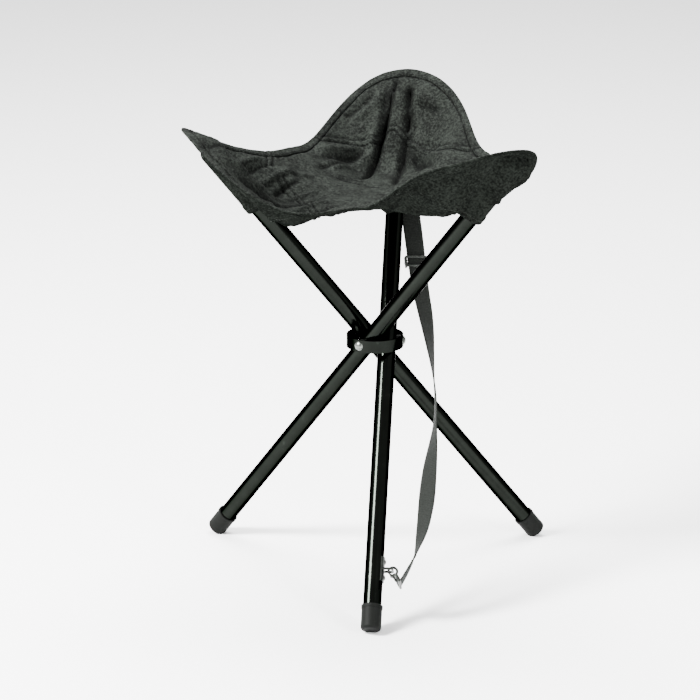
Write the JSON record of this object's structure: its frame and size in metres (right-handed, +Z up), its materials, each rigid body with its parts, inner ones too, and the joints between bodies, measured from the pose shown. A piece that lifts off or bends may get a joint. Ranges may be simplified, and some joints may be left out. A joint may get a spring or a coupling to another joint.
{
  "type": "three leg stool",
  "caption": "Folding tripod stool: crossed steel tube legs riveted inside a ring, a sling cloth seat on their tops and a webbing carry strap with a snap hook.",
  "frame": {"origin": "the point of the floor straight under the middle of the ring that the legs cross in", "axes": "+Z up; +X out along the rivet of leg c; +Y towards the side that leg c's upper end leans to"},
  "size_m": [0.3706, 0.4131, 0.5014],
  "materials": {
    "tube_paint": "glossy black enamel on steel tube",
    "ring_paint": "satin black enamel on a steel band",
    "rivet_steel": "zinc plated steel",
    "fitting_steel": "nickel plated steel, dull",
    "foot_rubber": "black moulded rubber",
    "plug_plastic": "black moulded plastic",
    "slider_plastic": "black acetal",
    "seat_cloth": "woven black-grey polyester, coated underneath",
    "webbing": "ribbed grey-black polyester webbing"
  },
  "bodies": {
    "hub": {"hub_ring": "ring_paint", "pivot_rivet_a": "rivet_steel", "pivot_spacer_a": "plug_plastic", "pivot_rivet_b": "rivet_steel", "pivot_spacer_b": "plug_plastic", "pivot_rivet_c": "rivet_steel", "pivot_spacer_c": "plug_plastic", "seat_panel": "seat_cloth"},
    "leg_a": {"leg_tube_a": "tube_paint", "foot_cap_a": "foot_rubber", "top_plug_a": "plug_plastic", "seat_pocket_a": "seat_cloth"},
    "leg_b": {"leg_tube_b": "tube_paint", "foot_cap_b": "foot_rubber", "top_plug_b": "plug_plastic", "seat_pocket_b": "seat_cloth"},
    "leg_c": {"leg_tube_c": "tube_paint", "foot_cap_c": "foot_rubber", "top_plug_c": "plug_plastic", "seat_pocket_c": "seat_cloth", "strap_eye": "fitting_steel", "strap_eye_rivets": "rivet_steel", "strap": "webbing", "hook_ring": "fitting_steel"},
    "slider": {"strap_slider": "slider_plastic"},
    "hook": {"hook_body": "fitting_steel", "gate_pin": "rivet_steel", "gate_spring": "rivet_steel"},
    "gate": {"hook_gate": "fitting_steel"}
  },
  "joints": [
    {"name": "leg_a_fold", "type": "hinge", "parent": "hub", "child": "leg_a", "pos_m": [-0.0065, 0.01126, 0.25299], "axis": [-0.5, 0.866, 0], "range_deg": [0, 39], "deforming": ["seat_panel"]},
    {"name": "leg_b_fold", "type": "hinge", "parent": "hub", "child": "leg_b", "pos_m": [-0.0065, -0.01126, 0.25299], "axis": [-0.5, -0.866, 0], "range_deg": [0, 39]},
    {"name": "leg_c_fold", "type": "hinge", "parent": "hub", "child": "leg_c", "pos_m": [0.013, 0, 0.25299], "axis": [1, 0, 0], "range_deg": [0, 39]},
    {"name": "slider_slide", "type": "slide", "parent": "leg_c", "child": "slider", "axis": [0.1552, -0.6257, -0.7645], "range_m": [-0.008, 0.008]},
    {"name": "hook_swivel", "type": "hinge", "parent": "leg_c", "child": "hook", "pos_m": [0.0403, -0.17133, 0.04367], "axis": [-0.5284, 0.5377, 0.657], "range_deg": [-12, 12]},
    {"name": "hook_gate_hinge", "type": "hinge", "parent": "hook", "child": "gate", "pos_m": [0.03084, -0.1659, 0.05031], "axis": [0, 0.7738, -0.6334], "range_deg": [0, 25], "stiffness_Nm_per_rad": 0.01, "springref_deg": -17.19}
  ],
  "couplings": [
    {"joint": "leg_b_fold", "follows": "leg_a_fold", "ratio": 1},
    {"joint": "leg_c_fold", "follows": "leg_a_fold", "ratio": 1}
  ]
}
